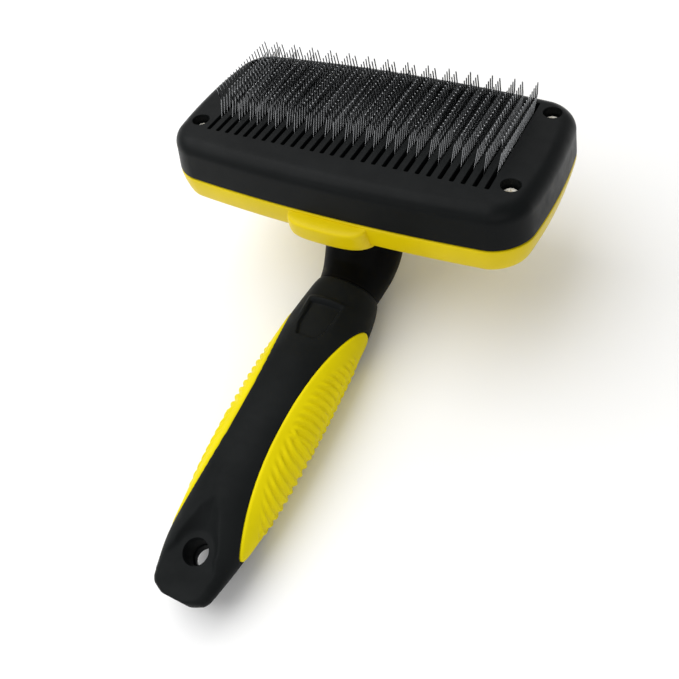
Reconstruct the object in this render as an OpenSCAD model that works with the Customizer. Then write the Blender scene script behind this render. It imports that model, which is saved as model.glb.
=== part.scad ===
// Self-cleaning slicker brush for pets.
// Head frame used inside the modules: origin at the centre of the slotted face,
// +X along the long side of the head, +Y away from the handle, +Z out of the face.
// stand() then sets the finished brush down on its handle with +Z up.

/* [Head] */
// Length of the head along X
head_length = 122; // [110:1:130]
// Width of the head along Y
head_width = 63; // [61:1:66]
// Corner radius of the head
corner_r = 10; // [9:0.5:12]
// Depth of the black face cover
cover_depth = 12.9; // [12.5:0.1:13.2]
// Thickness of the moulded walls
wall = 2; // [1.8:0.1:2.4]

/* [Pins] */
// Number of slots in the face, an even number
slot_count = 28; // [20:2:28]
// Distance between slots
slot_pitch = 3.4; // [3.2:0.1:3.4]
// Width of a slot
slot_width = 1.3; // [1.3:0.1:1.5]
// Length of a slot
slot_length = 42.5; // [41:0.5:44]
// Number of pins standing in each slot
pins_per_slot = 19; // [10:1:19]
// Diameter of the pin wire
wire_d = 0.4; // [0.3:0.05:0.5]
// Height of the pin tips above the face
pin_height = 8.8; // [7:0.1:9]

/* [Motion] */
// Length of the slide that draws the pins in
slide_travel = 12; // [10:0.5:12]
// Slope of the slide above the face plane, in degrees
slide_slope = 50; // [48:1:52]

/* [Handle] */
// Radius of the hanging hole
hang_r = 3.6; // [2.5:0.1:3.8]
// Radius of the curved edge of the side grips, seen from above
grip_curve_r = 146; // [130:2:160]
// Half width of the black band between the side grips
grip_gap = 7; // [6.5:0.5:8]

/* [Hidden] */

// Standing pose
tilt = 9.5;
stand_y = 59.1;
stand_z = 56.6;

// Head outline
head_middle_y = -2.15;
long_bow = 2.95;
short_bow = 2.4;
edge_r = 5;
draft = 0.9;
shell_top = -cover_depth;
lip_height = 1.7;
tab_x = 2.5;

// Stack under the slotted face, as heights of the layers
plate_top = -7;
plate_bottom = -10.2;
foundation_top = -3.3;
foundation_bottom = -4.9;
plate_half_x = 47.4;
plate_near_y = -19;
plate_far_y = 22.5;

// Corner screws
screw_x = 51.4;
screw_y = 17.6;
boss_r = 3.4;
seat_z = -4.6;
cover_screw_r = 1.4;
fit_gap = 0.05;

// Guide pins and the cheeks they slide in
guide_r = 1.25;
guide_z = -8.6;
guide_near_y = -4;
guide_far_y = 11;
cheek_x = 49.6;
cheek_t = 2;
cheek_half_y = 13.7;
slide_y = cos(slide_slope);
slide_z = sin(slide_slope);

// Return springs
spring_x = 55;
spring_r = 1.8;
spring_wire_r = 0.25;
loop_r = 1.6;
anchor_y = 12.4;
anchor_z = -6.6;
anchor_r = 1.1;

// Pins
first_pin_y = -13.3;
pin_pitch = 1.6;
stagger = 0.8;
crown_z = -4.3;
knee_z = pin_height / 2;
lean = 0.433;
tip_back = 0.6;
splay = 0.033;

// Stem of the handle core, where it passes through the back shell
stem_y = 1;
stem_z = -22.5;
stem_a = 10.5;
stem_b = 8;
stem_gap = 0.5;
carrier_screw_x = 6;
carrier_screw_y = [5, 13];
carrier_screw_r = 1.2;

// Sections of the handle: [y, z, slope of the path, half width, half depth]
neck_sections = [
    [13.9, -7.2, 50, stem_a, stem_b],
    [1, -22.5, 50, stem_a, stem_b],
    [-2.2, -26.3, 50, stem_a, stem_b],
    [-5.2, -30.4, 54, 11.5, 8.8],
    [-9, -36.6, 56, 12.8, 10.4],
    [-13, -42.6, 50, 13, 11.2],
    [-18, -47.6, 36, 12.3, 11.3],
    [-23, -50, 24, 11.2, 11.2],
    [-27, -51.2, 20, 10.6, 11]];
sleeve_sections = [
    [-27, -51.2, 20, 10.9, 11.2],
    [-29.4, -51.9, 18, 12, 11.4],
    [-33, -52.8, 16, 13, 11.3],
    [-39, -53.8, 12, 13.9, 11.2],
    [-48, -54.8, 9, 14.5, 11.3],
    [-60, -56.4, 9, 15, 11.8],
    [-75, -58.8, 11, 15.3, 12],
    [-90, -61.6, 12, 15, 12],
    [-104, -64.3, 13, 14.2, 11.2],
    [-114, -65.6, 13, 13.4, 9],
    [-123, -66.5, 12, 12.3, 6.1],
    [-129, -67.6, 12, 11, 4.9],
    [-132.8, -68.4, 12, 9.9, 4.4],
    [-134.2, -68.7, 12, 8.9, 4],
    [-135.9, -69, 12, 5.2, 3.3]];
grip_middle_y = -82;
grip_slope = 11;
grip_proud = 0.3;
hang_y = -123.3;
hang_z = -62.9;
hang_slope = 15;
recess_floor = 1;

// Straight bar of the core inside the sleeve
bar_half = [5.4, 6];
bar_slope = 10;
bar_length = 90;

// ---- shapes that repeat ----

// Closed solid through rings of the same number of points
module loft(rings) {
    n = len(rings[0]);
    last = len(rings) - 1;
    skin = [for (i = [0:last - 1]) for (j = [0:n - 1]) for (half = [0, 1])
        let (a = i * n + j, b = i * n + (j + 1) % n)
        half == 0 ? [a, b, b + n] : [a, b + n, a + n]];
    ends = [[for (j = [n - 1:-1:0]) j], [for (j = [0:n - 1]) last * n + j]];
    polyhedron([for (ring = rings) for (p = ring) p], concat(skin, ends));
}

// Head outline, inset from the seam line: a rounded rectangle with bowed sides
function corner(cx, cy, r, start) = [for (i = [0:7]) let (a = start + i * 90 / 7)
    [cx + r * cos(a), cy + r * sin(a)]];
function along(a, b, n) = [for (i = [1:n]) a + (b - a) * i / (n + 1)];
function box_outline(hx, hy, r) = let (
    ne = corner(hx - r, hy - r, r, 0), nw = corner(r - hx, hy - r, r, 90),
    sw = corner(r - hx, r - hy, r, 180), se = corner(hx - r, r - hy, r, 270))
    concat(ne, along(ne[7], nw[0], 5), nw, along(nw[7], sw[0], 3),
        sw, along(sw[7], se[0], 5), se, along(se[7], ne[0], 3));
function bowed(p, hx, hy) = [p.x * (1 + short_bow / hx * (1 - pow(p.y / hy, 2))),
    p.y * (1 + long_bow / hy * (1 - pow(p.x / hx, 2)))];
function head_outline(inset) = let (
    hx = head_length / 2 - short_bow - inset, hy = head_width / 2 - long_bow - inset)
    [for (p = box_outline(hx, hy, max(corner_r - inset, 2))) bowed(p, hx, hy) + [0, head_middle_y]];

// Head-shaped solid: profile is a list of [height, inset], from the top down
module head_solid(profile) {
    loft([for (level = profile) [for (p = head_outline(level[1])) [p.x, p.y, level[0]]]]);
}

// Squares off an ellipse a little
function flattened(c) = sign(c) * pow(abs(c), 0.9);

// Ring of a handle section, widened by grow
function handle_ring(s, grow) = [for (i = [0:35]) let (
    u = (s[3] + grow) * flattened(cos(i * 10)),
    v = -(s[4] + grow) * flattened(sin(i * 10)))
    [u, s[0] - v * sin(s[2]), s[1] + v * cos(s[2])]];

module handle_solid(sections, grow = 0) {
    loft([for (s = sections) handle_ring(s, grow)]);
}

// The finished brush is set down on the flat underside of its handle
module stand() {
    translate([0, stand_y, stand_z]) rotate([-tilt, 0, 0]) children();
}

module below_floor() {
    translate([-100, -200, -20]) cube([200, 400, 20]);
}

module four_corners(x, y) {
    for (sx = [-1, 1]) for (sy = [-1, 1]) translate([sx * x, sy * y, 0]) children();
}

module rod(from, to, r) {
    d = to - from;
    translate(from) rotate([0, acos(d.z / norm(d)), atan2(d.y, d.x)]) cylinder(h = norm(d), r = r, $fn = 16);
}

module pan_screw(head_r, head_h, shank_r, length) {
    difference() {
        union() {
            cylinder(h = head_h, r = head_r, $fn = 32);
            translate([0, 0, -length]) cylinder(h = length, r = shank_r, $fn = 32);
        }
        for (turn = [0, 90]) rotate([0, 0, turn]) translate([-head_r * 0.62, -0.3, head_h - 0.9])
            cube([head_r * 1.24, 0.6, 1]);
    }
}

// ---- head housing: cover, shell and their screws ----

cover_profile = concat(
    [for (t = [90:-15:0]) [-edge_r + edge_r * sin(t), draft + edge_r * (1 - cos(t))]],
    [[-cover_depth, 0]]);
cover_cavity = [[-wall - 0.2, draft + wall + 4], [-wall - 1.2, draft + wall + 1.2],
    [-wall - 4, draft + wall], [-cover_depth - 1, wall - 0.15]];
shell_profile = [[shell_top, 0.3], [-18.6, 0.7], [-20.6, 1.3], [-22, 3], [-22.8, 6.2],
    [-23.8, 13], [-24.4, 20]];
shell_cavity = [[shell_top + 1, 2.2], [-18.6, 2.7], [-20, 4], [-20.8, 6.8], [-21.8, 13.2], [-22.4, 20]];

module slot_pattern() {
    straight = slot_length - slot_width;
    for (i = [0:slot_count - 1]) translate([(i - (slot_count - 1) / 2) * slot_pitch, 0]) {
        square([slot_width, straight], center = true);
        for (s = [-1, 1]) translate([0, s * straight / 2]) circle(d = slot_width, $fn = 24);
    }
}

module face_cover() {
    color([0.13, 0.14, 0.14]) stand() difference() {
        union() {
            difference() {
                head_solid(cover_profile);
                head_solid(cover_cavity);
            }
            four_corners(screw_x, screw_y) translate([0, 0, -cover_depth])
                cylinder(h = 11, r = boss_r, $fn = 48);
        }
        translate([0, 0, -5]) linear_extrude(6) slot_pattern();
        four_corners(screw_x, screw_y) {
            translate([0, 0, seat_z]) cylinder(h = 6, r = 2.8, $fn = 48);
            translate([0, 0, -cover_depth - 1]) cylinder(h = cover_depth, r = 1.7, $fn = 48);
        }
    }
}

// The tab bows outwards in plan and stands a little to one side of the middle
module thumb_tab() {
    translate([tab_x, 0, 0]) hull() {
        translate([-15, -33, -21.2]) cube([30, 1.2, 7]);
        for (p = [[10.3, -35.6], [5, -36.5]]) for (s = [-1, 1]) {
            translate([s * p.x, p.y, -16.2]) sphere(r = 1.5, $fn = 20);
            translate([s * p.x, p.y + 1.1, -19.2]) sphere(r = 1.5, $fn = 20);
        }
    }
}

module guide_slot(y) {
    ends = [[y, guide_z], [y - slide_travel * slide_y, guide_z - slide_travel * slide_z]];
    for (e = ends) translate([cheek_x - 1, e[0], e[1]]) rotate([0, 90, 0])
        cylinder(h = cheek_t + 2, r = guide_r + fit_gap, $fn = 32);
    translate([cheek_x - 1, y, guide_z]) rotate([slide_slope, 0, 0])
        translate([0, -slide_travel, -guide_r - fit_gap])
        cube([cheek_t + 2, slide_travel, 2 * (guide_r + fit_gap)]);
}

module guide_cheek() {
    difference() {
        translate([cheek_x, -cheek_half_y, -22.4]) cube([cheek_t, 2 * cheek_half_y, 17]);
        guide_slot(guide_near_y);
        guide_slot(guide_far_y);
    }
    rod([cheek_x + cheek_t - 0.5, anchor_y, anchor_z], [spring_x + 1.2, anchor_y, anchor_z], anchor_r);
}

module stem_passage() {
    translate([0, stem_y, stem_z]) rotate([slide_slope - 90, 0, 0]) translate([0, 0, -12])
        linear_extrude(24) polygon([for (i = [0:35])
            [(stem_a + stem_gap) * flattened(cos(i * 10)), (stem_b + stem_gap) * flattened(sin(i * 10))]]);
}

module back_shell() {
    color([0.98, 0.86, 0.05]) stand() {
        difference() {
            union() {
                difference() {
                    union() {
                        head_solid(shell_profile);
                        thumb_tab();
                    }
                    head_solid(shell_cavity);
                }
                four_corners(screw_x, screw_y) translate([0, 0, -22.2])
                    cylinder(h = 22.2 - cover_depth, r = boss_r, $fn = 48);
            }
            four_corners(screw_x, screw_y) translate([0, 0, -18.5])
                cylinder(h = 12, r = cover_screw_r + fit_gap, $fn = 48);
            stem_passage();
        }
        shell_lip();
        for (s = [0, 1]) mirror([s, 0, 0]) guide_cheek();
    }
}

module shell_lip() {
    difference() {
        head_solid([[shell_top + lip_height, 2.6], [shell_top - 0.1, 2.6],
            [shell_top - 0.9, 1.6], [shell_top - 1.9, 1.6]]);
        head_solid([[shell_top + lip_height + 1, 3.6], [shell_top - 2.9, 3.6]]);
    }
}

module cover_screws() {
    color([0.75, 0.74, 0.68]) stand() four_corners(screw_x, screw_y)
        translate([0, 0, seat_z]) pan_screw(2.4, 1.7, cover_screw_r, 12.5);
}

// ---- pin base: carrier, cushion, foundation and staples ----

module pin_base_layer(top, bottom, half_x, near_y, far_y) {
    translate([-half_x, near_y, bottom]) cube([2 * half_x, far_y - near_y, top - bottom]);
}

module carrier_screw_places() {
    for (x = [-carrier_screw_x, carrier_screw_x]) for (y = carrier_screw_y)
        translate([x, y, plate_top - 1.7]) children();
}

module pin_carrier() {
    color([0.2, 0.2, 0.21]) stand() difference() {
        pin_base_layer(plate_top, plate_bottom, plate_half_x, plate_near_y, plate_far_y);
        carrier_screw_places() {
            cylinder(h = 3, r = 2.3, $fn = 32);
            translate([0, 0, -5]) cylinder(h = 6, r = carrier_screw_r + fit_gap, $fn = 32);
        }
        guide_pin_places(guide_r);
    }
}

module carrier_screws() {
    color([0.62, 0.62, 0.63]) stand() carrier_screw_places() pan_screw(2.2, 1.6, carrier_screw_r, 7);
}

module foam_cushion() {
    color([0.3, 0.3, 0.3]) stand()
        pin_base_layer(foundation_bottom, plate_top, plate_half_x - 0.4, -17.5, 21.5);
}

module pin_foundation() {
    color([0.08, 0.08, 0.09]) stand()
        pin_base_layer(foundation_top, foundation_bottom, plate_half_x - 0.4, -17.5, 21.5);
}

module guide_pin_places(r) {
    for (s = [-1, 1]) {
        rod([s * 41, guide_near_y, guide_z], [s * (spring_x + 1.2), guide_near_y, guide_z], r);
        rod([s * 41, guide_far_y, guide_z], [s * (cheek_x + cheek_t + 1), guide_far_y, guide_z], r);
    }
}

module guide_pins() {
    color([0.7, 0.7, 0.72]) stand() guide_pin_places(guide_r);
}

// Path of one pin leg; side is -1 or 1, the way the leg splays
function leg(x, y, side) = [for (z = [crown_z, knee_z, pin_height])
    [x + side * splay * (z - crown_z), y + lean * min(z, knee_z) - (z > knee_z ? tip_back : 0), z]];

// Wire swept through the points of a path, with six flat sides
module bent_wire(path) {
    last = len(path) - 1;
    d = [for (i = [0:last - 1]) (path[i + 1] - path[i]) / norm(path[i + 1] - path[i])];
    axis = [for (i = [0:last])
        let (t = i == 0 ? d[0] : i == last ? d[last - 1] : d[i - 1] + d[i]) t / norm(t)];
    across = cross(d[0], path[last] - path[0]);
    side = across / norm(across);
    loft([for (i = [0:last]) let (
        out = cross(side, axis[i]) / norm(cross(side, axis[i])),
        stretch = 1 / (axis[i] * d[min(i, last - 1)]))
        [for (j = [0:5]) path[i] + wire_d / 2 * (cos(60 * j) * side + stretch * sin(60 * j) * out)]]);
}

module staple(x, y) {
    left = leg(x, y, -1);
    right = leg(x + slot_pitch, y + stagger, 1);
    bent_wire([left[2], left[1], left[0], right[0], right[1], right[2]]);
}

module staples(column) {
    x = (2 * column - (slot_count - 1) / 2) * slot_pitch;
    color([0.8, 0.8, 0.82]) stand()
        for (i = [0:pins_per_slot - 1]) staple(x, first_pin_y + i * pin_pitch);
}

// ---- handle ----

module core_bar(length) {
    translate([0, -24, -50.6]) rotate([90 + bar_slope, 0, 0]) linear_extrude(length)
        polygon([for (i = [0:23])
            [bar_half.x * flattened(cos(i * 15)), bar_half.y * flattened(sin(i * 15))]]);
}

module handle_core() {
    color([0.1, 0.1, 0.11]) stand() difference() {
        union() {
            difference() {
                handle_solid(neck_sections);
                translate([-30, -30, plate_bottom]) cube([60, 80, 30]);
            }
            core_bar(bar_length);
        }
        carrier_screw_places() translate([0, 0, -8]) cylinder(h = 9, r = carrier_screw_r + fit_gap, $fn = 32);
    }
}

module grip_cut(side) {
    translate([side * (grip_gap + grip_curve_r), grip_middle_y, -58]) rotate([grip_slope, 0, 0])
        cylinder(h = 80, r = grip_curve_r, center = true, $fn = 128);
}

module thumb_recess() {
    translate([0, -41, -42.3 - recess_floor]) rotate([9, 0, 0]) linear_extrude(6)
        polygon([[-5.4, 0.4], [-5.1, -9], [-3.2, -13.2], [3.2, -13.2], [5.1, -9], [5.4, 0.4]]);
}

// Flat tongue round the hole, and the scoop that leads down to it
module tongue_cut() {
    flat = concat([for (a = [0:15:180]) [6 * cos(a), 6 * sin(a)]],
        [[-8.2, -3.3], [-14, -20], [14, -20], [8.2, -3.3]]);
    brim = [[0, 31.4], [9.4, 18], [17.2, 2], [20, -20], [-20, -20], [-17.2, 2], [-9.4, 18]];
    hull() {
        linear_extrude(0.01) polygon(flat);
        translate([0, 0, 12]) linear_extrude(0.01) polygon(brim);
    }
}

module hang_hole() {
    translate([0, hang_y, hang_z]) rotate([hang_slope, 0, 0]) {
        translate([0, 0, -20]) cylinder(h = 30, r = hang_r, $fn = 48);
        tongue_cut();
    }
}

module handle_sleeve() {
    color([0.12, 0.12, 0.13]) difference() {
        stand() difference() {
            handle_solid(sleeve_sections);
            core_bar(bar_length);
            for (s = [-1, 1]) grip_cut(s);
            thumb_recess();
            hang_hole();
        }
        below_floor();
    }
}

module grip(side) {
    color([0.87, 0.84, 0.05]) difference() {
        stand() intersection() {
            handle_solid(sleeve_sections, grip_proud);
            grip_cut(side);
        }
        below_floor();
    }
}

module left_grip() {
    grip(-1);
}

module right_grip() {
    grip(1);
}

// ---- springs ----

module return_spring() {
    near = [spring_x, guide_near_y, guide_z];
    far = [spring_x, anchor_y, anchor_z];
    d = (far - near) / norm(far - near);
    rod(near + loop_r * d, near + 3.2 * d, spring_wire_r);
    rod(near + 3 * d, far - 3 * d, spring_r);
    rod(far - 3.2 * d, far - loop_r * d, spring_wire_r);
    for (p = [near, far]) translate(p) rotate([0, 90, 0])
        rotate_extrude($fn = 32) translate([loop_r, 0]) circle(r = spring_wire_r, $fn = 16);
}

module return_springs() {
    color([0.7, 0.7, 0.72]) stand() for (s = [0, 1]) mirror([s, 0, 0]) return_spring();
}

handle_core();
handle_sleeve();
left_grip();
right_grip();
pin_carrier();
foam_cushion();
pin_foundation();
staples(0);  // staples_01
staples(1);  // staples_02
staples(2);  // staples_03
staples(3);  // staples_04
staples(4);  // staples_05
staples(5);  // staples_06
staples(6);  // staples_07
staples(7);  // staples_08
staples(8);  // staples_09
staples(9);  // staples_10
staples(10);  // staples_11
staples(11);  // staples_12
staples(12);  // staples_13
staples(13);  // staples_14
carrier_screws();
guide_pins();
return_springs();
face_cover();
back_shell();
cover_screws();
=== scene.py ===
"""Looks of the self-cleaning slicker brush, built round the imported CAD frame.

Shapes of the head and handle are worked out in the head frame, in millimetres: origin at the centre
of the slotted face, +X along the head, +Y away from the handle, +Z out of the face.
stand() carries them to the row frame, in metres, as the CAD does.
"""

import math

import bmesh
import bpy
import numpy as np
from mathutils import Matrix, Vector


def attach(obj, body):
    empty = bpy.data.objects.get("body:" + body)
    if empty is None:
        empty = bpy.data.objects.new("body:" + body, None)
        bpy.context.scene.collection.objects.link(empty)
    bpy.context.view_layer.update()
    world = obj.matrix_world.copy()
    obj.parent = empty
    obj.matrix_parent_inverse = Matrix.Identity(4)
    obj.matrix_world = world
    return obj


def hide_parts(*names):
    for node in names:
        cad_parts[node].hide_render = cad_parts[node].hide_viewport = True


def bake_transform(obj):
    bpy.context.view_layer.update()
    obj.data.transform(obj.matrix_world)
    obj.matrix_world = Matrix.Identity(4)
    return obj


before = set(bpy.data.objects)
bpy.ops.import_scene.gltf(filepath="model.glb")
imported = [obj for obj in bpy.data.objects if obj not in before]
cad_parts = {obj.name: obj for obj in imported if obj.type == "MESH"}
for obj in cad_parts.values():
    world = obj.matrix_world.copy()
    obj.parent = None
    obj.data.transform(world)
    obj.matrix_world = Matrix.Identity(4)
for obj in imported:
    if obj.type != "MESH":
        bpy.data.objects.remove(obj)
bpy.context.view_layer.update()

MM = 0.001
TILT = math.radians(9.5)
STAND = np.array([0.0, 59.1, 56.6])

# Head, as in the CAD
HEAD_LENGTH, HEAD_WIDTH, CORNER_R, HEAD_MIDDLE_Y = 122.0, 63.0, 10.0, -2.15
LONG_BOW, SHORT_BOW = 2.95, 2.4
EDGE_R, DRAFT, WALL = 5.0, 0.9, 2.0
SEAM_Z = -12.9
SLOTS, SLOT_PITCH, SLOT_WIDTH, SLOT_LENGTH = 28, 3.4, 1.3, 42.5
SCREW_X, SCREW_Y, SEAT_Z, BOSS_R, WELL_R = 51.4, 17.6, -4.6, 3.4, 2.8
SLIDE_SLOPE, TRAVEL = math.radians(50), 12.0
GUIDE_R, GUIDE_Z, GUIDE_NEAR_Y, GUIDE_FAR_Y = 1.25, -8.6, -4.0, 11.0
CHEEK_X, CHEEK_T, CHEEK_HALF_Y = 49.6, 2.0, 13.7
SPRING_X, ANCHOR_Y, ANCHOR_Z, ANCHOR_R = 55.0, 12.4, -6.6, 1.1

# Hollow of the head, as in the CAD: z, and how far in from the outline
COVER_CAVITY = [
    (-WALL - 0.2, DRAFT + WALL + 4),
    (-WALL - 1.2, DRAFT + WALL + 1.2),
    (-WALL - 4, DRAFT + WALL),
    (SEAM_Z - 1, WALL - 0.15),
]
SHELL_CAVITY = [(SEAM_Z + 1, 2.2), (-18.6, 2.7), (-20, 4), (-20.8, 6.8), (-21.8, 13.2), (-22.4, 20)]
# The stem's passage is 0.4 mm wider all round than the CAD's
STEM_HALF, STEM_MIDDLE, STEM_GAP = (10.5, 8), (0, 1, -22.5), 0.9
POST_END_Z, CHEEK_Z = -22.1, (-22.4, -5.4)

# Pins, as in the CAD
PINS_PER_SLOT, FIRST_PIN_Y, PIN_PITCH, STAGGER = 19, -13.3, 1.6, 0.8
WIRE_R, PIN_HEIGHT, CROWN_Z, LEAN, TIP_BACK, SPLAY = 0.2, 8.8, -4.3, 0.433, 0.6, 0.033
TIP_TAPER = 0.12

# Handle sections: y, z, slope of the path in degrees, half width, half depth.
# The path and depths are the CAD's. The half widths are up to 0.6 mm less, and the grips' edges
# have a larger radius than the CAD's, to follow the outline seen from the camera more closely.
NECK = [
    (13.9, -7.2, 50, 10.5, 8),
    (1, -22.5, 50, 10.5, 8),
    (-2.2, -26.3, 50, 10.5, 8),
    (-5.2, -30.4, 54, 11.6, 9),
    (-9, -36.6, 56, 12.8, 10.4),
    (-13, -42.6, 50, 13.2, 11.2),
    (-18, -47.6, 36, 12.3, 11.3),
    (-23, -50, 24, 11, 11.2),
    (-27, -51.2, 20, 10.3, 11),
]
SLEEVE = [
    (-27, -51.2, 20, 10.6, 11.2),
    (-29.4, -51.9, 18, 11.5, 11.4),
    (-33, -52.8, 16, 12.4, 11.3),
    (-39, -53.8, 12, 13.3, 11.2),
    (-48, -54.8, 9, 14, 11.3),
    (-60, -56.4, 9, 14.5, 11.8),
    (-75, -58.8, 11, 14.8, 12),
    (-90, -61.6, 12, 14.5, 12),
    (-104, -64.3, 13, 13.7, 11.2),
    (-114, -65.6, 13, 12.8, 9),
    (-123, -66.5, 12, 11.9, 6.1),
    (-129, -67.6, 12, 10.6, 4.9),
    (-132.8, -68.4, 12, 9.6, 4.4),
    (-134.2, -68.7, 12, 8.6, 4),
    (-135.9, -69, 12, 5, 3.3),
]
GRIP_R, GRIP_GAP, GRIP_MIDDLE_Y, GRIP_SLOPE = 160.0, 7.2, -81.5, math.radians(11)
HANG_Y, HANG_Z, HANG_SLOPE = -123.3, -62.9, math.radians(15)
CARRIER_BOTTOM_Z = -10.2
BAR_HALF, BAR_SLOPE, BAR_START, BAR_LENGTH = (5.35, 5.95), math.radians(10), (-24, -50.6), 90.0
SEAT_IN_SLEEVE, GRIP_RISE, RIB_HALF_HEIGHT = 0.4, 0.65, 0.4


# ---- small tools ----


def stand(points):
    """Head frame in millimetres to row frame in metres."""
    p = np.asarray(points, float).reshape(-1, 3)
    c, s = math.cos(TILT), math.sin(TILT)
    turned = np.stack([p[:, 0], c * p[:, 1] + s * p[:, 2], c * p[:, 2] - s * p[:, 1]], 1)
    return (turned + STAND) * MM


def smoothstep(t):
    t = np.clip(t, 0, 1)
    return t * t * (3 - 2 * t)


def soft_min(a, b, blend):
    return 0.5 * (a + b - np.sqrt((a - b) ** 2 + blend * blend))


def monotone(xs, ys, x):
    """Smooth curve through points that never overshoots them; xs rises."""
    xs, ys = np.asarray(xs, float), np.asarray(ys, float)
    h, d = np.diff(xs), np.diff(ys) / np.diff(xs)
    m = np.concatenate([[d[0]], (d[:-1] + d[1:]) / 2, [d[-1]]])
    m[1:-1][d[:-1] * d[1:] <= 0] = 0
    for i, slope in enumerate(d):
        limit = 3 * abs(slope)
        m[i], m[i + 1] = np.clip(m[i], -limit, limit), np.clip(m[i + 1], -limit, limit)
    i = np.clip(np.searchsorted(xs, x) - 1, 0, len(h) - 1)
    t = (x - xs[i]) / h[i]
    return (
        (1 + 2 * t) * (1 - t) ** 2 * ys[i]
        + t * (1 - t) ** 2 * h[i] * m[i]
        + t * t * (3 - 2 * t) * ys[i + 1]
        + t * t * (t - 1) * h[i] * m[i + 1]
    )


def finish_mesh(obj, sharp):
    bm = bmesh.new()
    bm.from_mesh(obj.data)
    bmesh.ops.remove_doubles(bm, verts=bm.verts, dist=1e-7)
    bmesh.ops.recalc_face_normals(bm, faces=bm.faces)
    bm.to_mesh(obj.data)
    bm.free()
    obj.data.shade_smooth()
    obj.data.set_sharp_from_angle(angle=math.radians(sharp))


def new_piece(name, points, faces, sharp=35):
    """Mesh object from row-frame points in metres."""
    mesh = bpy.data.meshes.new(name)
    mesh.from_pydata(np.asarray(points, float).tolist(), [], faces)
    obj = bpy.data.objects.new(name, mesh)
    bpy.context.scene.collection.objects.link(obj)
    finish_mesh(obj, sharp)
    return obj


def grid_faces(rows, cols, closed=True, start=0):
    faces = []
    for i in range(rows - 1):
        for j in range(cols if closed else cols - 1):
            a, b = start + i * cols + j, start + i * cols + (j + 1) % cols
            faces.append((a, b, b + cols, a + cols))
    return faces


def tube(rings):
    """Points and faces of a closed solid through rings of equal length."""
    rows, cols = len(rings), len(rings[0])
    points = np.concatenate([np.asarray(r, float) for r in rings])
    faces = grid_faces(rows, cols)
    faces.append(tuple(range(cols - 1, -1, -1)))
    faces.append(tuple(range((rows - 1) * cols, rows * cols)))
    return points, faces


def merged(solids):
    """Several (points, faces) pairs as one."""
    points, faces, count = [], [], 0
    for p, f in solids:
        points.append(p)
        faces += [tuple(i + count for i in face) for face in f]
        count += len(p)
    return np.concatenate(points), faces


def circle(r, n, centre=(0, 0), z=0.0):
    t = np.arange(n) * 2 * math.pi / n
    return np.stack([centre[0] + r * np.cos(t), centre[1] + r * np.sin(t), np.full(n, z)], 1)


def lathe(profile, n, centre=(0, 0)):
    """Closed solid of revolution about Z from a list of (radius, z)."""
    return tube([circle(max(r, 0.01), n, centre, z) for r, z in profile])


def box_solid(low, high):
    (x0, y0, z0), (x1, y1, z1) = low, high
    return tube([[(x0, y0, z), (x1, y0, z), (x1, y1, z), (x0, y1, z)] for z in (z0, z1)])


def sweep(path, radius, sides, taper=0):
    """Closed wire through the points of a path; taper rounds its two ends."""
    path = np.asarray(path, float)
    tangent = np.gradient(path, axis=0)
    tangent /= np.linalg.norm(tangent, axis=1, keepdims=True)
    side = np.cross(tangent[0], (0.3, 0.9, 0.2))
    rings = []
    for i, (p, t) in enumerate(zip(path, tangent)):
        side = side - t * np.dot(side, t)
        side /= np.linalg.norm(side)
        out = np.cross(t, side)
        r = radius * (1 - taper * (i in (0, len(path) - 1)))
        a = np.arange(sides) * 2 * math.pi / sides
        rings.append(p + r * (np.cos(a)[:, None] * side + np.sin(a)[:, None] * out))
    return tube(rings)


def rod(a, b, r):
    """Straight round bar between two points."""
    a, b = np.asarray(a, float), np.asarray(b, float)
    return sweep([a, (a + b) / 2, b], r, 20)


def ring_solid(profile, n, centre):
    """Solid of revolution with a hole, from a closed outline of (radius, z)."""
    points = np.concatenate([circle(r, n, centre, z) for r, z in profile])
    last = (len(profile) - 1) * n
    faces = grid_faces(len(profile), n)
    faces += [(last + j, last + (j + 1) % n, (j + 1) % n, j) for j in range(n)]
    return points, faces


def mirrored(solid):
    return solid[0] * (-1, 1, 1), [face[::-1] for face in solid[1]]


def shifted(solid, offset):
    return solid[0] + offset, solid[1]


def placed(solid):
    """The same solid, carried from the head frame to the row frame."""
    return stand(solid[0]), solid[1]


def carve(obj, solid, sharp):
    """Takes a solid (row frame) away from obj."""
    cutter = new_piece("cutter", *solid)
    cut = obj.modifiers.new("cut", "BOOLEAN")
    cut.operation = "DIFFERENCE"
    cut.solver = "EXACT"
    cut.object = cutter
    done = bpy.data.meshes.new_from_object(obj.evaluated_get(bpy.context.evaluated_depsgraph_get()))
    obj.modifiers.clear()
    old, obj.data = obj.data, done
    bpy.data.meshes.remove(old)
    done.name = obj.name
    bpy.data.objects.remove(cutter)
    finish_mesh(obj, sharp)


def join(obj, solid, sharp):
    """Adds another closed solid (row frame) to obj's mesh."""
    extra = new_piece("extra", *solid)
    bm = bmesh.new()
    bm.from_mesh(obj.data)
    bm.from_mesh(extra.data)
    bm.to_mesh(obj.data)
    bm.free()
    bpy.data.objects.remove(extra)
    obj.data.shade_smooth()
    obj.data.set_sharp_from_angle(angle=math.radians(sharp))


# ---- materials ----


def shader(name, color, roughness, metallic=0.0, specular=0.5):
    mat = bpy.data.materials.new(name)
    mat.use_nodes = True
    nodes = mat.node_tree.nodes
    bsdf = nodes["Principled BSDF"]
    bsdf.inputs["Base Color"].default_value = (*color, 1)
    bsdf.inputs["Roughness"].default_value = roughness
    bsdf.inputs["Metallic"].default_value = metallic
    bsdf.inputs["Specular IOR Level"].default_value = specular
    return mat, nodes, mat.node_tree.links, bsdf


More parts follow.
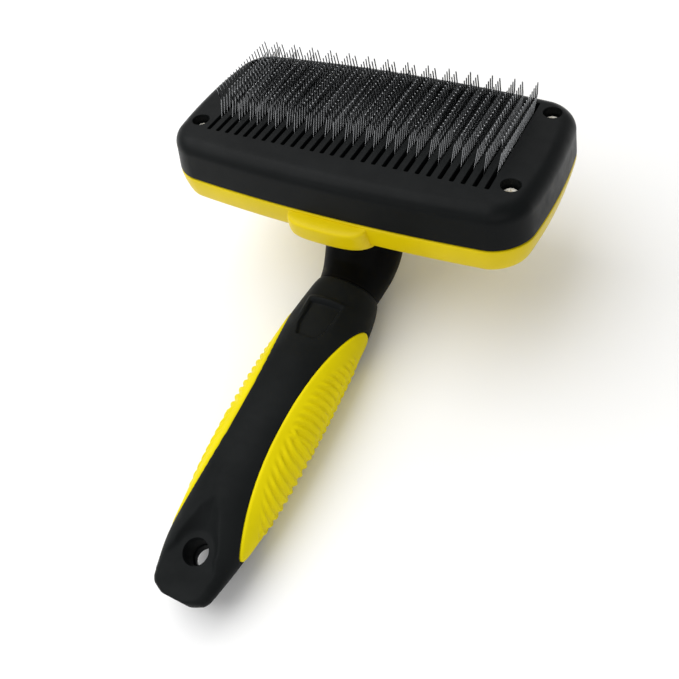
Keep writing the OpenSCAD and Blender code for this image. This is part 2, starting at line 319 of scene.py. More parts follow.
def noise(nodes, links, scale, detail=3.0, rough=0.55, stretch=None):
    coords = nodes.new("ShaderNodeTexCoord")
    tex = nodes.new("ShaderNodeTexNoise")
    tex.inputs["Scale"].default_value = scale
    tex.inputs["Detail"].default_value = detail
    tex.inputs["Roughness"].default_value = rough
    source = coords.outputs["Object"]
    if stretch:
        mapping = nodes.new("ShaderNodeMapping")
        mapping.inputs["Scale"].default_value = stretch
        links.new(source, mapping.inputs["Vector"])
        source = mapping.outputs["Vector"]
    links.new(source, tex.inputs["Vector"])
    return tex.outputs["Fac"]


def ramp(nodes, links, fac, low, high, at=(0.35, 0.65)):
    """Colour ramp from low to high; a number stands for a grey."""
    node = nodes.new("ShaderNodeValToRGB")
    for element, value, place in zip(node.color_ramp.elements, (low, high), at):
        element.position = place
        element.color = (*value, 1) if isinstance(value, tuple) else (value, value, value, 1)
    links.new(fac, node.inputs["Fac"])
    return node.outputs["Color"]


def bump(nodes, links, bsdf, heights):
    """Chains (height, distance in metres) pairs into the shader's normal."""
    last = None
    for height, distance in heights:
        node = nodes.new("ShaderNodeBump")
        node.inputs["Strength"].default_value = 1.0
        node.inputs["Distance"].default_value = distance
        links.new(height, node.inputs["Height"])
        if last:
            links.new(last, node.inputs["Normal"])
        last = node.outputs["Normal"]
    links.new(last, bsdf.inputs["Normal"])


def moulded(name, dark, light, rough, grain, grain_depth, specular):
    """Moulded plastic or rubber: fine grain, slow colour change and uneven gloss."""
    mat, nodes, links, bsdf = shader(name, light, rough[0], specular=specular)
    slow = noise(nodes, links, 55, 4)
    links.new(ramp(nodes, links, slow, dark, light), bsdf.inputs["Base Color"])
    smudge = noise(nodes, links, 230, 5, 0.6)
    links.new(ramp(nodes, links, smudge, *rough, at=(0.3, 0.7)), bsdf.inputs["Roughness"])
    bump(nodes, links, bsdf, [(noise(nodes, links, grain, 2, 0.5), grain_depth)])
    return mat


def metal(name, color, rough, stretch, scratch=1500, depth=4e-6, metallic=1.0):
    """Drawn or turned steel: streaks along one direction."""
    mat, nodes, links, bsdf = shader(name, color, rough[0], metallic=metallic)
    streak = noise(nodes, links, scratch, 3, 0.6, stretch)
    links.new(ramp(nodes, links, streak, *rough, at=(0.25, 0.75)), bsdf.inputs["Roughness"])
    tint = noise(nodes, links, 260, 3)
    darker = tuple(c * 0.82 for c in color)
    links.new(ramp(nodes, links, tint, darker, color), bsdf.inputs["Base Color"])
    bump(nodes, links, bsdf, [(streak, depth)])
    return mat


def woven(name, color):
    """Cloth-faced rubber sheet."""
    mat, nodes, links, bsdf = shader(name, color, 0.85, specular=0.3)
    coords = nodes.new("ShaderNodeTexCoord")
    heights = []
    for axis in ("X", "Y"):
        wave = nodes.new("ShaderNodeTexWave")
        wave.bands_direction = axis
        wave.inputs["Scale"].default_value = 700
        links.new(coords.outputs["Object"], wave.inputs["Vector"])
        heights.append((wave.outputs["Fac"], 4e-5))
    speck = noise(nodes, links, 900, 3)
    darker = tuple(c * 0.6 for c in color)
    links.new(ramp(nodes, links, speck, darker, color), bsdf.inputs["Base Color"])
    bump(nodes, links, bsdf, heights)
    return mat


def foam_material(name, color):
    """Open-cell foam: small pores."""
    mat, nodes, links, bsdf = shader(name, color, 0.9, specular=0.2)
    coords = nodes.new("ShaderNodeTexCoord")
    cells = nodes.new("ShaderNodeTexVoronoi")
    cells.inputs["Scale"].default_value = 1800
    links.new(coords.outputs["Object"], cells.inputs["Vector"])
    pore = tuple(c * 0.35 for c in color)
    shade = ramp(nodes, links, cells.outputs["Distance"], pore, color, at=(0.1, 0.6))
    links.new(shade, bsdf.inputs["Base Color"])
    bump(nodes, links, bsdf, [(cells.outputs["Distance"], 1.2e-4)])
    return mat


COVER_BLACK = moulded(
    "cover_black",
    dark=(0.0036, 0.0043, 0.0045),
    light=(0.0052, 0.0062, 0.0064),
    rough=(0.34, 0.46),
    grain=5200,
    grain_depth=1.6e-5,
    specular=0.09,
)
SHELL_YELLOW = moulded(
    "shell_yellow",
    dark=(0.67, 0.51, 0.001),
    light=(0.73, 0.56, 0.002),
    rough=(0.28, 0.38),
    grain=2600,
    grain_depth=3e-6,
    specular=0.13,
)
GRIP_YELLOW = moulded(
    "grip_yellow",
    dark=(0.72, 0.60, 0.001),
    light=(0.80, 0.67, 0.002),
    rough=(0.42, 0.56),
    grain=4200,
    grain_depth=1.4e-5,
    specular=0.06,
)
SLEEVE_BLACK = moulded(
    "sleeve_black",
    dark=(0.0054, 0.0064, 0.0066),
    light=(0.0088, 0.0100, 0.0103),
    rough=(0.44, 0.6),
    grain=4200,
    grain_depth=2.2e-5,
    specular=0.06,
)
CORE_BLACK = moulded(
    "core_black",
    dark=(0.0018, 0.0019, 0.0020),
    light=(0.0028, 0.0030, 0.0031),
    rough=(0.36, 0.5),
    grain=3600,
    grain_depth=1e-5,
    specular=0.03,
)
PIN_STEEL = metal("pin_steel", (0.42, 0.43, 0.44), (0.16, 0.26), (1, 1, 0.2))
SCREW_STEEL = metal(
    "screw_steel", (0.98, 0.94, 0.84), (0.35, 0.5), (1, 1, 1), scratch=900, depth=6e-6, metallic=0.2
)
SPRING_STEEL = metal("spring_steel", (0.6, 0.6, 0.62), (0.2, 0.34), (1, 0.2, 1))
RUBBER_CLOTH = woven("rubber_cloth", (0.006, 0.006, 0.0065))
FOAM_GREY = foam_material("foam_grey", (0.06, 0.06, 0.062))


def dress(obj, material, body, slot, *nodes):
    """Gives a piece its material and body, and hides the CAD nodes that it stands for; slot is not
    used.
    """
    obj.data.materials.clear()
    obj.data.materials.append(material)
    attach(obj, body)
    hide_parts(*nodes)


# ---- head housing ----

# Where the sides of the outline have points: fine along the near side where the tab's ends are
TAB_ZONE = np.concatenate(
    [np.arange(-15, -9, 0.15), np.arange(-9, 10.4, 0.5), np.arange(10.4, 19.5, 0.15)]
)
NEAR_X = np.concatenate([np.linspace(-47, -16, 20), TAB_ZONE, np.linspace(20, 47, 18)])
NEAR_SIDE = (NEAR_X + 49) / 98
FAR_SIDE = np.arange(1, 41) / 41
SHORT_SIDE = np.arange(1, 25) / 25
CORNER = np.linspace(0, math.pi / 2, 24)


def head_outline(inset):
    """Rounded rectangle with bowed sides, as in the CAD but finer."""
    hx = HEAD_LENGTH / 2 - SHORT_BOW - inset
    hy = HEAD_WIDTH / 2 - LONG_BOW - inset
    r = max(CORNER_R - inset, 2.0)
    points = []
    corners = ((1, 1, 0.0), (-1, 1, 0.5), (-1, -1, 1.0), (1, -1, 1.5))
    sides = (FAR_SIDE, SHORT_SIDE, NEAR_SIDE, SHORT_SIDE)
    arcs = []
    for sx, sy, turn in corners:
        a = CORNER + turn * math.pi
        arcs.append(np.stack([sx * (hx - r) + r * np.cos(a), sy * (hy - r) + r * np.sin(a)], 1))
    for k in range(4):
        a, b = arcs[k][-1], arcs[(k + 1) % 4][0]
        points += [arcs[k], a + (b - a) * sides[k][:, None]]
    p = np.concatenate(points)
    x = p[:, 0] * (1 + SHORT_BOW / hx * (1 - (p[:, 1] / hy) ** 2))
    y = p[:, 1] * (1 + LONG_BOW / hy * (1 - (p[:, 0] / hx) ** 2))
    return np.stack([x, y + HEAD_MIDDLE_Y], 1)


def head_ring(z, inset):
    p = head_outline(inset)
    return np.column_stack([p, np.full(len(p), z)])


def head_solid(profile):
    return tube([head_ring(z, inset) for z, inset in profile])


def slot_outline(half_width, half_length, z, r=0.35, n=5):
    """Outline of a slot: a rectangle with small round corners."""
    points = []
    for sx, sy, turn in ((1, 1, 0), (-1, 1, 0.5), (-1, -1, 1), (1, -1, 1.5)):
        t = np.linspace(0, math.pi / 2, n) + turn * math.pi
        x, y = sx * (half_width - r) + r * np.cos(t), sy * (half_length - r) + r * np.sin(t)
        points.append(np.stack([x, y], 1))
    return np.column_stack([np.concatenate(points), np.full(4 * n, z)])


def slot_cutters():
    rim = 0.1
    half_w, half_l = SLOT_WIDTH / 2, SLOT_LENGTH / 2
    levels = [(0.3, rim + 0.3), (-rim, 0.0), (-5.0, 0.0)]
    rings = [slot_outline(half_w + grow, half_l + grow, z, 0.35 + grow) for z, grow in levels]
    solids = []
    for i in range(SLOTS):
        x = (i - (SLOTS - 1) / 2) * SLOT_PITCH
        solids.append(tube([ring + (x, 0, 0) for ring in rings]))
    return merged(solids)


def corners():
    return [(sx * SCREW_X, sy * SCREW_Y) for sx in (-1, 1) for sy in (-1, 1)]


def make_cover():
    edge = [
        (-EDGE_R + EDGE_R * math.sin(t), DRAFT + EDGE_R * (1 - math.cos(t)))
        for t in np.linspace(math.pi / 2, 0, 13)
    ]
    foot = [(-8.5, 0.5), (-11.9, 0.11), (-12.3, 0.08), (-12.45, 0.2), (-12.6, 0.5), (SEAM_Z, 0.55)]
    cover = new_piece("cover", *placed(head_solid(edge + foot)))
    carve(cover, placed(head_solid(COVER_CAVITY)), 30)
    carve(cover, placed(slot_cutters()), 30)
    wells = [lathe([(3.15, 0.25), (WELL_R, -0.15), (WELL_R, -2.9)], 48, c) for c in corners()]
    carve(cover, placed(merged(wells)), 30)
    outline = [(BOSS_R, -2.25), (BOSS_R, SEAM_Z), (1.7, SEAM_Z)]
    outline += [(1.7, SEAT_Z), (WELL_R, SEAT_Z), (WELL_R, -2.25)]
    join(cover, placed(merged([ring_solid(outline, 48, c) for c in corners()])), 30)
    dress(cover, COVER_BLACK, "head_housing", "cover_plastic", "face_cover")


# Thumb tab, about 3 mm shorter at its right end than the CAD's. From its underside up:
# z, share of the full reach, left end and right end
TAB_LEVELS = [
    (-23.9, 0, -9, 15.6),
    (-23.3, 0.35, -10.6, 15.6),
    (-22.8, 0.62, -11.6, 15.5),
    (-22.4, 0.8, -12.1, 15.3),
    (-22, 0.92, -12.3, 15),
    (-21.4, 1.02, -12.4, 14.6),
    (-20.8, 1.04, -12.5, 14.3),
    (-20, 1.05, -12.5, 14.2),
    (-19, 1.04, -12.5, 14.2),
    (-17.5, 1.02, -12.4, 14.2),
    (-16, 1, -12.3, 14.3),
    (-15.2, 0.98, -12.2, 14.3),
    (-14.7, 0.93, -12.1, 14.3),
    (-14.4, 0.82, -12, 14.2),
    (-14.15, 0.6, -12, 14.2),
    (-13.95, 0.3, -12, 14.1),
    (-13.8, 0, -12, 14.1),
]
TAB_Z, TAB_SHARE, TAB_LEFT, TAB_RIGHT = zip(*TAB_LEVELS)
TAB_MIDDLE, TAB_REACH, TAB_BOW, TAB_SQUARENESS = 0.5, 4.5, 0.005, 6


def tab_reach(x, z):
    """How far the thumb tab stands out of the wall: a bowed bar with rounded ends and a sloped top."""
    z = min(max(z, TAB_Z[0]), TAB_Z[-1])
    left, right, share = (float(monotone(TAB_Z, t, z)) for t in (TAB_LEFT, TAB_RIGHT, TAB_SHARE))
    across = np.abs((2 * x - left - right) / (right - left))
    ends = np.sqrt(1 - np.minimum(1, across) ** TAB_SQUARENESS)
    return (TAB_REACH - TAB_BOW * (x - TAB_MIDDLE) ** 2) * ends * share


def flattened(c, power=0.9):
    """Cosine or sine for an outline a little squarer than an ellipse; power 1 leaves it as it is."""
    return np.sign(c) * np.abs(c) ** power


def oval(half, grow, n):
    """Outline points round the origin, with the given half sizes."""
    t = np.arange(n) * 2 * math.pi / n
    x, y = (half[0] + grow) * flattened(np.cos(t)), (half[1] + grow) * flattened(np.sin(t))
    return np.stack([x, y], 1)


def stem_passage():
    """Prism along the slide, round the stem, where it goes through the shell."""
    axis = np.array([0, math.cos(SLIDE_SLOPE), math.sin(SLIDE_SLOPE)])
    across = np.array([0, -axis[2], axis[1]])
    p = oval(STEM_HALF, STEM_GAP, 72)
    ring = np.array(STEM_MIDDLE) + p[:, :1] * (1, 0, 0) + p[:, 1:] * across
    return tube([ring + along * axis for along in (-12, 12)])


def slanted_slot(y):
    """Guide slot in a cheek, from the rest place of its pin to the end of the travel."""
    r = GUIDE_R + 0.05
    t = np.linspace(-math.pi / 2, math.pi / 2, 14)
    end = r * np.stack([np.cos(t), np.sin(t)], 1)
    flat = np.concatenate([end, -end - (TRAVEL, 0)])
    c, s = math.cos(SLIDE_SLOPE), math.sin(SLIDE_SLOPE)
    yy, zz = y + c * flat[:, 0] - s * flat[:, 1], GUIDE_Z + s * flat[:, 0] + c * flat[:, 1]
    sides = (CHEEK_X - 1, CHEEK_X + CHEEK_T + 1)
    return tube([np.column_stack([np.full(len(yy), x), yy, zz]) for x in sides])


def shell_levels():
    """z and inset of the shell's outside, from the seam groove down, with fine steps by the tab."""
    groove = [(SEAM_Z, 0.55), (-12.96, 0.3), (-13.1, 0.1), (-13.35, 0.02), (-13.65, 0.0)]
    side = [
        (-22, 3.1),
        (-21.4, 2.1),
        (-20.6, 1.35),
        (-19.8, 1.0),
        (-18.6, 0.7),
        (-16.6, 0.3),
        (-14.6, 0.05),
        (-13.65, 0),
    ]
    under = [(-22, 3.1), (-22.4, 4.5), (-22.8, 6.3), (-23.3, 9.3), (-23.8, 13)]
    under += [(-24.2, 17), (-24.4, 20)]
    depths, insets = zip(*side)
    zs = np.concatenate([np.arange(-13.75, -16.6, -0.13), np.arange(-16.6, -21.95, -0.25)])
    return groove + [(z, float(monotone(depths, insets, z))) for z in zs] + under


def shell_lip():
    """Rim that stands up from the shell inside the cover."""
    outside = [(SEAM_Z + 1.7, 2.6), (SEAM_Z - 0.1, 2.6), (SEAM_Z - 0.9, 1.8), (SEAM_Z - 1.9, 1.8)]
    lip = new_piece("lip", *placed(head_solid(outside)))
    carve(lip, placed(head_solid([(SEAM_Z + 3, 3.6), (SEAM_Z - 3, 3.6)])), 32)
    return lip


def guide_cheek():
    """Plate on the +X side with the two slanted slots."""
    low = (CHEEK_X, -CHEEK_HALF_Y, CHEEK_Z[0])
    high = (CHEEK_X + CHEEK_T, CHEEK_HALF_Y, CHEEK_Z[1])
    cheek = new_piece("cheek", *placed(box_solid(low, high)))
    carve(cheek, placed(merged([slanted_slot(GUIDE_NEAR_Y), slanted_slot(GUIDE_FAR_Y)])), 32)
    return cheek


def make_shell():
    rings = [head_ring(z, inset) for z, inset in shell_levels()]
    for ring in rings:
        near = ring[:, 1] < -24
        ring[near, 1] -= tab_reach(ring[near, 0], ring[0, 2])
    shell = new_piece("shell", *placed(tube(rings)))
    carve(shell, placed(head_solid(SHELL_CAVITY)), 32)
    carve(shell, placed(stem_passage()), 32)
    outline = [(BOSS_R, SEAM_Z), (BOSS_R, POST_END_Z), (1.45, POST_END_Z), (1.45, SEAM_Z)]
    join(shell, placed(merged([ring_solid(outline, 40, c) for c in corners()])), 32)
    lip, cheek = shell_lip(), guide_cheek()
    bm = bmesh.new()
    bm.from_mesh(shell.data)
    bm.from_mesh(lip.data)
    bm.from_mesh(cheek.data)
    cheek.data.transform(Matrix.Diagonal((-1, 1, 1, 1)))
    cheek.data.flip_normals()
    bm.from_mesh(cheek.data)
    bm.to_mesh(shell.data)
    bm.free()
    for helper in (lip, cheek):
        bpy.data.objects.remove(helper)
    inner, outer = CHEEK_X + CHEEK_T - 0.5, SPRING_X + 1.2
    anchor = rod((inner, ANCHOR_Y, ANCHOR_Z), (outer, ANCHOR_Y, ANCHOR_Z), ANCHOR_R)
    join(shell, placed(merged([anchor, mirrored(anchor)])), 32)
    dress(shell, SHELL_YELLOW, "head_housing", "yellow_plastic", "back_shell")


def make_cover_screws():
    head = [(0, 2.25), (1.2, 2.22), (1.75, 2.1), (2.1, 1.85), (2.3, 1.4), (2.38, 0.8), (2.4, 0.1)]
    shank = [(2.32, 0), (1.4, 0), (1.4, -11.4), (1.1, -12.1), (0.5, -12.5), (0, -12.5)]
    bodies = merged([lathe(head + shank, 48, c) for c in corners()])
    screws = new_piece("cover_screw_set", *placed(shifted(bodies, (0, 0, SEAT_Z))))
    crosses = []
    for k, c in enumerate(corners()):
        turn = math.radians(20 + 37 * k)
        for extra in (0, math.pi / 2):
            ca, sa = math.cos(turn + extra), math.sin(turn + extra)
            rings = []
            for z, half_l, half_w in ((SEAT_Z + 2.7, 1.75, 0.42), (SEAT_Z + 1.0, 1.0, 0.2)):
                flat = np.array([(1, 1), (-1, 1), (-1, -1), (1, -1)]) * (half_l, half_w)
                x = c[0] + ca * flat[:, 0] - sa * flat[:, 1]
                y = c[1] + sa * flat[:, 0] + ca * flat[:, 1]
                rings.append(np.column_stack([x, y, np.full(4, z)]))
            crosses.append(tube(rings))
    for part in (crosses[0::2], crosses[1::2]):
        carve(screws, placed(merged(part)), 28)
    dress(screws, SCREW_STEEL, "head_housing", "screw_steel", "cover_screws")


# ---- pins and their cushion ----


def leg(x, y, side):
    """Crown, bend and tip of one pin; it leans away from the handle up to the bend, then back."""
    bend = PIN_HEIGHT / 2
    points = []
    for z in (CROWN_Z, bend, PIN_HEIGHT):
        back = TIP_BACK if z > bend else 0
        points.append(np.array([x + side * SPLAY * (z - CROWN_Z), y + LEAN * min(z, bend) - back, z]))
    return points


def rounded_path(points, radius):
    """Path with its corners turned into short curves."""
    path = [points[0]]
    for a, b, c in zip(points, points[1:], points[2:]):
        before = b + (a - b) / np.linalg.norm(a - b) * radius
        after = b + (c - b) / np.linalg.norm(c - b) * radius
        for t in np.linspace(0, 1, 5):
            path.append((1 - t) ** 2 * before + 2 * t * (1 - t) * b + t * t * after)
    path.append(points[-1])
    start, end = path[0], path[-1]
    near_start = start + (path[1] - start) / np.linalg.norm(path[1] - start) * TIP_TAPER
    near_end = end + (path[-2] - end) / np.linalg.norm(path[-2] - end) * TIP_TAPER
    return [start, near_start, *path[1:-1], near_end, end]


def make_staples():
    for column in range(SLOTS // 2):
        x = (2 * column - (SLOTS - 1) / 2) * SLOT_PITCH
        wires = []
        for i in range(PINS_PER_SLOT):
            y = FIRST_PIN_Y + i * PIN_PITCH
            left, right = leg(x, y, -1), leg(x + SLOT_PITCH, y + STAGGER, 1)
            wires.append(sweep(rounded_path([*left[::-1], *right], 0.5), WIRE_R, 8, taper=0.2))
        name = f"{column + 1:02d}"
        pins = new_piece("pins_" + name, *placed(merged(wires)), sharp=50)
        dress(pins, PIN_STEEL, "handle", "pin_wire", "staples_" + name)


def soft_slab(name, low, high, radius, bulge):
    """Slab with rounded edges, whose sides swell a little in the middle."""
    corner_r = 2.5
    (x0, y0, z0), (x1, y1, z1) = low, high
    middle, half = (z0 + z1) / 2, (z1 - z0) / 2
    rings = []
    for t in np.linspace(-1, 1, 9):
        z = middle + half * t
        grow = bulge * (1 - t * t) - radius * max(0.0, abs(t) - 0.6) ** 2 / 0.16
        r = corner_r + grow
        corner = []
        for sx, sy, turn in ((1, 1, 0), (-1, 1, 0.5), (-1, -1, 1), (1, -1, 1.5)):
            cx, cy = (x1 if sx > 0 else x0) - sx * corner_r, (y1 if sy > 0 else y0) - sy * corner_r
            a = np.linspace(0, math.pi / 2, 8) + turn * math.pi
            corner.append(np.stack([cx + r * np.cos(a), cy + r * np.sin(a), np.full(8, z)], 1))
        rings.append(np.concatenate(corner))
    return new_piece(name, *placed(tube(rings)), sharp=60)


def make_cushion():
    foam = soft_slab("foam_pad", (-46.7, -17.3, -7.0), (46.7, 21.3, -4.9), 0.35, 0.15)
    dress(foam, FOAM_GREY, "handle", "cushion", "foam_cushion")
    sheet = soft_slab("pin_sheet", (-46.9, -17.4, -4.9), (46.9, 21.4, -3.3), 0.15, 0.0)
    dress(sheet, RUBBER_CLOTH, "handle", "cushion", "pin_foundation")


def make_springs():
    near = np.array([SPRING_X, GUIDE_NEAR_Y, GUIDE_Z])
    far = np.array([SPRING_X, ANCHOR_Y, ANCHOR_Z])
    length = np.linalg.norm(far - near)
    along = (far - near) / length
    up = np.cross((1, 0, 0), along)
    loop_r, coil_r, turns, hook, coil_start, wire_r = 1.6, 1.55, 13, 2.2, 3.1, 0.25
    path = []
    for t in np.linspace(math.pi * 0.1, math.pi * 1.95, 22):
        path.append(near + loop_r * (math.cos(t) * along + math.sin(t) * up))
    path.append(near + hook * along + 0.1 * up)
    for t in np.linspace(0, 1, turns * 16):
        a = t * turns * 2 * math.pi
        s = coil_start + (length - 2 * coil_start) * t
        path.append(near + s * along + coil_r * (math.cos(a) * up + math.sin(a) * np.array([1, 0, 0])))
    path.append(far - hook * along + 0.1 * up)
    for t in np.linspace(math.pi * 0.95, -math.pi * 0.9, 22):
        path.append(far + loop_r * (math.cos(t) * along + math.sin(t) * up))
    coil = sweep(path, wire_r, 8)
    springs = new_piece("spring_pair", *placed(merged([coil, mirrored(coil)])), sharp=60)
    springs.data.materials.append(SPRING_STEEL)
    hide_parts("return_springs")
    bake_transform(springs)


# ---- handle ----


def section_at(sections, y):
    """z, slope in radians, half width and half depth at y, on smooth curves."""
    table = np.array(sections, float)[::-1]
    values = [monotone(table[:, 0], table[:, k], y) for k in range(1, 5)]
    end = y < -131
    for k in range(4):
        values[k] = np.where(end, np.interp(y, table[:, 0], table[:, k + 1]), values[k])
    return values[0], np.radians(values[1]), values[2], values[3]


def handle_points(y, z, slope, half_w, half_d, angle, grow=0.0):
    """Points of the handle's outline: an ellipse above the path, a little squarer below it."""
    power = np.where(np.sin(angle) > 0, 1.0, 0.9)
    u = (half_w + grow) * flattened(np.cos(angle), power)
    v = (half_d + grow) * flattened(np.sin(angle), power)
    return np.stack([u, y - v * np.sin(slope), z + v * np.cos(slope)], -1)


def make_neck():
    y = np.concatenate([np.linspace(13.9, -2.2, 24)[:-1], np.linspace(-2.2, NECK[-1][0], 60)])
    angle = np.arange(96) * 2 * math.pi / 96
    Y, A = np.meshgrid(y, angle, indexing="ij")
    points = handle_points(Y, *section_at(NECK, Y), A)
    points[..., 2] = np.minimum(points[..., 2], CARRIER_BOTTOM_Z)
    bar = []
    c, s = math.cos(BAR_SLOPE), math.sin(BAR_SLOPE)
    u, v = oval(BAR_HALF, 0, 40).T
    for along in (0.0, BAR_LENGTH):
        y, z = BAR_START[0] - c * along - s * v, BAR_START[1] - s * along + c * v
        bar.append(np.stack([u, y, z], 1))
    neck = new_piece("neck", *placed(merged([tube(list(points)), tube(bar)])), sharp=40)
    dress(neck, CORE_BLACK, "handle", "black_plastic", "handle_core")


def grip_edge(y):
    """x of the curved edge between the sleeve and a grip."""
    return GRIP_GAP + GRIP_R - np.sqrt(GRIP_R**2 - ((y - GRIP_MIDDLE_Y) / math.cos(GRIP_SLOPE)) ** 2)


def polygon_depth(x, y, corner_list):
    """Distance inside a convex outline, negative outside."""
    depth = np.full(x.shape, 1e9)
    for (x0, y0), (x1, y1) in zip(corner_list, corner_list[1:] + corner_list[:1]):
        nx, ny = -(y1 - y0), x1 - x0
        n = math.hypot(nx, ny)
        depth = np.minimum(depth, ((x - x0) * nx + (y - y0) * ny) / n)
    return depth


def cut_scoop(points):
    """Presses the flat tongue and the scoop above it into the end of the handle."""
    c, s = math.cos(HANG_SLOPE), math.sin(HANG_SLOPE)
    x, y, z = points[..., 0], points[..., 1] - HANG_Y, points[..., 2] - HANG_Z
    yl, zl = c * y + s * z, c * z - s * y
    ax = np.abs(x)
    disc = np.hypot(ax, yl) - 6.0
    throat = (ax - (6.0 + 2.2 * (-yl / 3.3))) * 0.83
    flare = (ax - (8.2 + (-3.3 - yl) * 0.35)) * 0.94
    gap = np.where(yl >= 0, disc, np.where(yl > -3.3, throat, flare))
    turn = np.degrees(np.arctan2(ax, yl))
    rise = np.interp(turn, [0, 15, 31.6, 50, 84, 120], [0.473, 0.62, 1.0, 1.3, 1.07, 1.1])
    floor_level = rise * 0.5 * (gap + np.sqrt(gap * gap + 0.25)) - 0.02
    low = soft_min(zl, floor_level, 0.35)
    zl = np.where(zl > -4, low, zl)
    points[..., 1] = c * yl - s * zl + HANG_Y
    points[..., 2] = s * yl + c * zl + HANG_Z


THUMB_SHIELD = [(-5.6, 0.6), (-5.2, -9), (-3.4, -13.4), (3.4, -13.4), (5.2, -9), (5.6, 0.6)]


def press_thumb_recess(points, top):
    """Shield-shaped recess near the neck with a raised lip round its upper end."""
    c, s = math.cos(math.radians(9)), math.sin(math.radians(9))
    x, y, z = points[..., 0], points[..., 1] + 41, points[..., 2] + 42.3
    yl = c * y + s * z
    depth = polygon_depth(x, yl, THUMB_SHIELD)
    floor_drop = 1.15 * smoothstep((depth + 0.1) / 0.75)
    lip = 0.5 * np.exp(-(((depth + 0.9) / 0.65) ** 2)) * smoothstep((yl + 9) / 8)
    change = np.where(top, lip - floor_drop, 0)
    points[..., 2] += change


def end_rounding(distance, radius):
    """How far the surface draws in near an end, for a quarter-round edge."""
    return radius * (1 - np.sqrt(1 - (1 - np.clip(distance / radius, 0, 1)) ** 2))


def make_sleeve():
    first, last = SLEEVE[0][0], SLEEVE[-1][0]
    start = first - np.array([0, 0.04, 0.15, 0.35])
    y = np.concatenate([start, np.arange(-27.7, -135.6, -0.45), [-135.75, last]])
    angle = np.arange(192) * 2 * math.pi / 192
    Y, A = np.meshgrid(y, angle, indexing="ij")
    z, slope, half_w, half_d = section_at(SLEEVE, Y)
    shrink = end_rounding(first - Y, 0.75) + end_rounding(Y - last, 0.5)
    points = handle_points(Y, z, slope, half_w, half_d, A, -shrink)
    beyond = np.abs(points[..., 0]) - grip_edge(Y)
    sink = -0.95 * smoothstep((beyond - 0.1) / 0.55)
    points = handle_points(Y, z, slope, half_w, half_d, A, sink - shrink)
    top = np.sin(A) > 0
    press_thumb_recess(points, top & (Y < -36) & (Y > -60))
    tail = (Y < -100) & (np.sin(A) > -0.2)
    reshaped = points.copy()
    cut_scoop(reshaped)
    points = np.where(tail[..., None], reshaped, points)
    rings = [stand(row) for row in points]
    for ring in rings:
        ring[:, 2] = np.maximum(ring[:, 2], 0)
    sleeve = new_piece("sleeve", *tube(rings), sharp=55)
    hole = lathe([(4.5, 0.8), (4.05, 0.1), (3.85, -0.4), (3.75, -7.2), (3.35, -7.5), (3.35, -20)], 64)
    c, s = math.cos(HANG_SLOPE), math.sin(HANG_SLOPE)
    p = hole[0]
    p = np.stack([p[:, 0], HANG_Y + c * p[:, 1] - s * p[:, 2], HANG_Z + s * p[:, 1] + c * p[:, 2]], 1)
    carve(sleeve, placed((p, hole[1])), 40)
    dress(sleeve, SLEEVE_BLACK, "handle", "black_rubber", "handle_sleeve")


def rib_height(y, w, w_side):
    """Height of the ribs, from -1 in a groove to 1 on a crest.

    y runs along the handle, w is the distance round the handle from the grip's edge
    and w_side the same distance at the side line, where the pattern mirrors."""
    w = w_side - np.abs(w - w_side)
    hook = -1.7 * np.exp(-np.maximum(w - 2.5, 0) / 2.5)
    upper = (y - hook + 81.5) / 2.625
    drop = np.interp(w, [0, 4, 6, 8, 11, 14, 17], [-2.2, 0, 1.25, 2.1, 2.6, 2.95, 3.6])
    lower = (y + drop + 83.85) / 2.97
    crest_u = np.where(upper < -0.5, -1, np.cos(2 * math.pi * upper))
    crest_l = np.where(lower > 1.5, -1, np.cos(2 * math.pi * lower))
    side_fade = smoothstep((w_side - w - 0.3) / 2.2)
    crest_u = np.where(upper > -0.5, crest_u * side_fade, crest_u)
    start = 2.3 + 2.2 * smoothstep((y + 66) / 14) + 2.2 * smoothstep((-y - 98) / 14)
    ends = smoothstep((-47.5 - y) / 5) * smoothstep((y + 115) / 5)
    shape = np.maximum(crest_u, crest_l)
    shape = np.sign(shape) * np.abs(shape) ** 0.8
    return shape * smoothstep((w - start) / 3.2) * ends


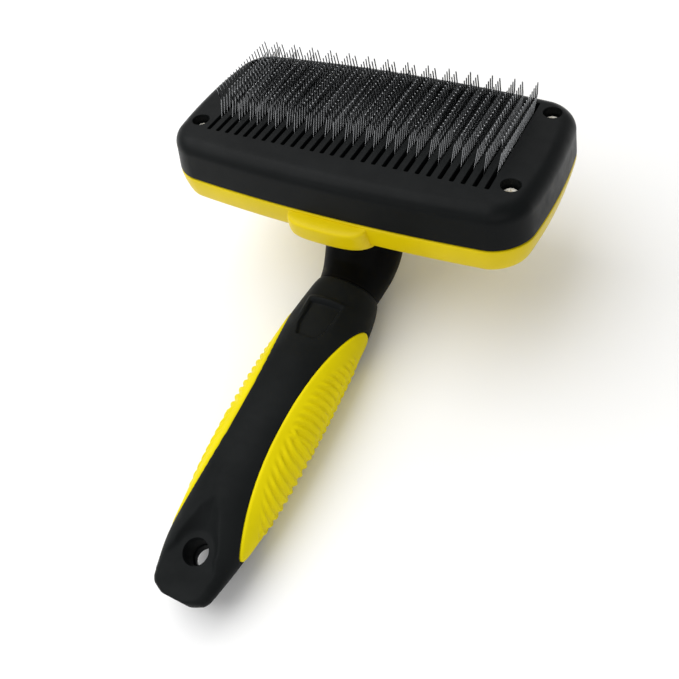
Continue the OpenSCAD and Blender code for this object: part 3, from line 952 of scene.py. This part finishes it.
def grip_solid():
    """Closed solid of the grip on the +X side, in the row frame."""
    fine = np.arange(-30, -131, -0.02)
    _, _, width, _ = section_at(SLEEVE, fine)
    inside = fine[width - SEAT_IN_SLEEVE > grip_edge(fine)]
    y_top, y_end = inside[0], inside[-1]
    rows, cols = 330, 120
    t = np.linspace(0, 1, rows)
    y = y_top + (y_end - y_top) * (0.5 - 0.5 * np.cos(math.pi * t)) * 0.35 + (y_end - y_top) * t * 0.65
    z, slope, half_w, half_d = section_at(SLEEVE, y)
    edge = np.arccos(np.clip(grip_edge(y) / (half_w - SEAT_IN_SLEEVE), 0, 1))
    k = np.linspace(1, -1, cols)
    A = edge[:, None] * k[None, :]
    Y = np.repeat(y[:, None], cols, 1)
    base = [np.repeat(v[:, None], cols, 1) for v in (z, slope, half_w, half_d)]
    flat = handle_points(Y, *base, A)
    step = np.linalg.norm(np.diff(flat, axis=1), axis=2)
    w = np.concatenate([np.zeros((rows, 1)), np.cumsum(step, axis=1)], 1)
    total = w[:, -1:]
    side = total * 0.5 + 0.9
    from_edge = np.minimum(w, total - w)
    along_edge = np.minimum(y_top - y, y - y_end)[:, None] * np.ones((1, cols))
    from_edge = np.minimum(from_edge, along_edge * 1.6)
    rounding = 1 - np.clip(from_edge / 1.1, 0, 1)
    proud = -SEAT_IN_SLEEVE + GRIP_RISE * np.sqrt(np.clip(1 - rounding**2, 0, 1))
    ribs = RIB_HALF_HEIGHT * rib_height(Y, w, side)
    outer = handle_points(Y, *base, A, proud + ribs)
    inner = handle_points(Y, *base, A, -0.85)
    points = np.concatenate([stand(outer), stand(inner)])
    points[:, 2] = np.maximum(points[:, 2], 0)
    faces = grid_faces(rows, cols, closed=False)
    n = rows * cols
    faces += [tuple(i + n for i in face[::-1]) for face in faces]
    rim = [i * cols for i in range(rows)] + [(rows - 1) * cols + j for j in range(1, cols)]
    rim += [i * cols + cols - 1 for i in range(rows - 2, -1, -1)] + list(range(cols - 2, 0, -1))
    for a, b in zip(rim, rim[1:] + rim[:1]):
        faces.append((b, a, a + n, b + n))
    return points, faces


def make_grips():
    solid = grip_solid()
    for name, shape in (("right_grip", solid), ("left_grip", mirrored(solid))):
        grip = new_piece(name + "_ribbed", *shape, sharp=60)
        dress(grip, GRIP_YELLOW, "handle", "yellow_rubber", name)


def paint_cad_nodes():
    """CAD nodes that stay as they are, inside the head, get their own materials."""
    for node, material, slot in (
        ("pin_carrier", CORE_BLACK, "black_plastic"),
        ("carrier_screws", SCREW_STEEL, "screw_steel"),
        ("guide_pins", SPRING_STEEL, "screw_steel"),
    ):
        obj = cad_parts[node]
        obj.data.materials.clear()
        obj.data.materials.append(material)


# ---- studio ----


def area_light(name, place, target, size, power):
    data = bpy.data.lights.new(name, "AREA")
    data.shape = "RECTANGLE"
    data.size, data.size_y = size
    data.energy = power
    light = bpy.data.objects.new(name, data)
    light.location = place
    light.rotation_euler = (Vector(target) - Vector(place)).to_track_quat("-Z", "Y").to_euler()
    bpy.context.scene.collection.objects.link(light)


def make_studio():
    scene = bpy.context.scene
    scene.view_settings.view_transform = "Standard"
    scene.view_settings.look = "None"
    world = bpy.data.worlds.new("studio")
    world.use_nodes = True
    world.node_tree.nodes["Background"].inputs["Color"].default_value = (1, 1, 1, 1)
    world.node_tree.nodes["Background"].inputs["Strength"].default_value = 0.36
    scene.world = world

    half = 4
    floor_corners = [(-half, -half, 0), (half, -half, 0), (half, half, 0), (-half, half, 0)]
    floor = new_piece("floor", floor_corners, [(0, 1, 2, 3)])
    mat, nodes, links, bsdf = shader("floor_white", (0.95, 0.95, 0.95), 0.9, specular=0.1)
    links.new(ramp(nodes, links, noise(nodes, links, 3, 2), 0.945, 0.955), bsdf.inputs["Base Color"])
    floor.data.materials.append(mat)

    area_light("key", (-0.5, -0.1, 0.95), (0, 0, 0.03), (1.2, 1.2), 10.5)
    area_light("back", (-0.35, 0.75, 0.85), (0, 0.02, 0.03), (1.2, 0.8), 3.2)
    area_light("low", (-0.4, -0.8, 0.42), (0, 0, 0.04), (0.8, 0.2), 0.8)
    area_light("front", (0.55, -0.75, 0.75), (0, 0, 0.03), (0.9, 0.6), 2.4)


def make_camera():
    data = bpy.data.cameras.new("camera")
    data.lens = 40.5
    data.sensor_width = 36
    data.clip_start = 0.01
    camera = bpy.data.objects.new("camera", data)
    place, target = Vector((0.1029, -0.09289, 0.21608)), Vector((0.01273, -0.00103, 0.02547))
    roll = Matrix.Rotation(math.radians(-21.23), 4, "Z").to_quaternion()
    turn = (target - place).normalized().to_track_quat("-Z", "Y") @ roll
    camera.rotation_mode = "QUATERNION"
    camera.rotation_quaternion = turn
    camera.location = place
    bpy.context.scene.collection.objects.link(camera)
    bpy.context.scene.camera = camera


make_camera()
make_cover()
make_shell()
make_cover_screws()
make_staples()
make_cushion()
make_springs()
make_neck()
make_sleeve()
make_grips()
paint_cad_nodes()
make_studio()
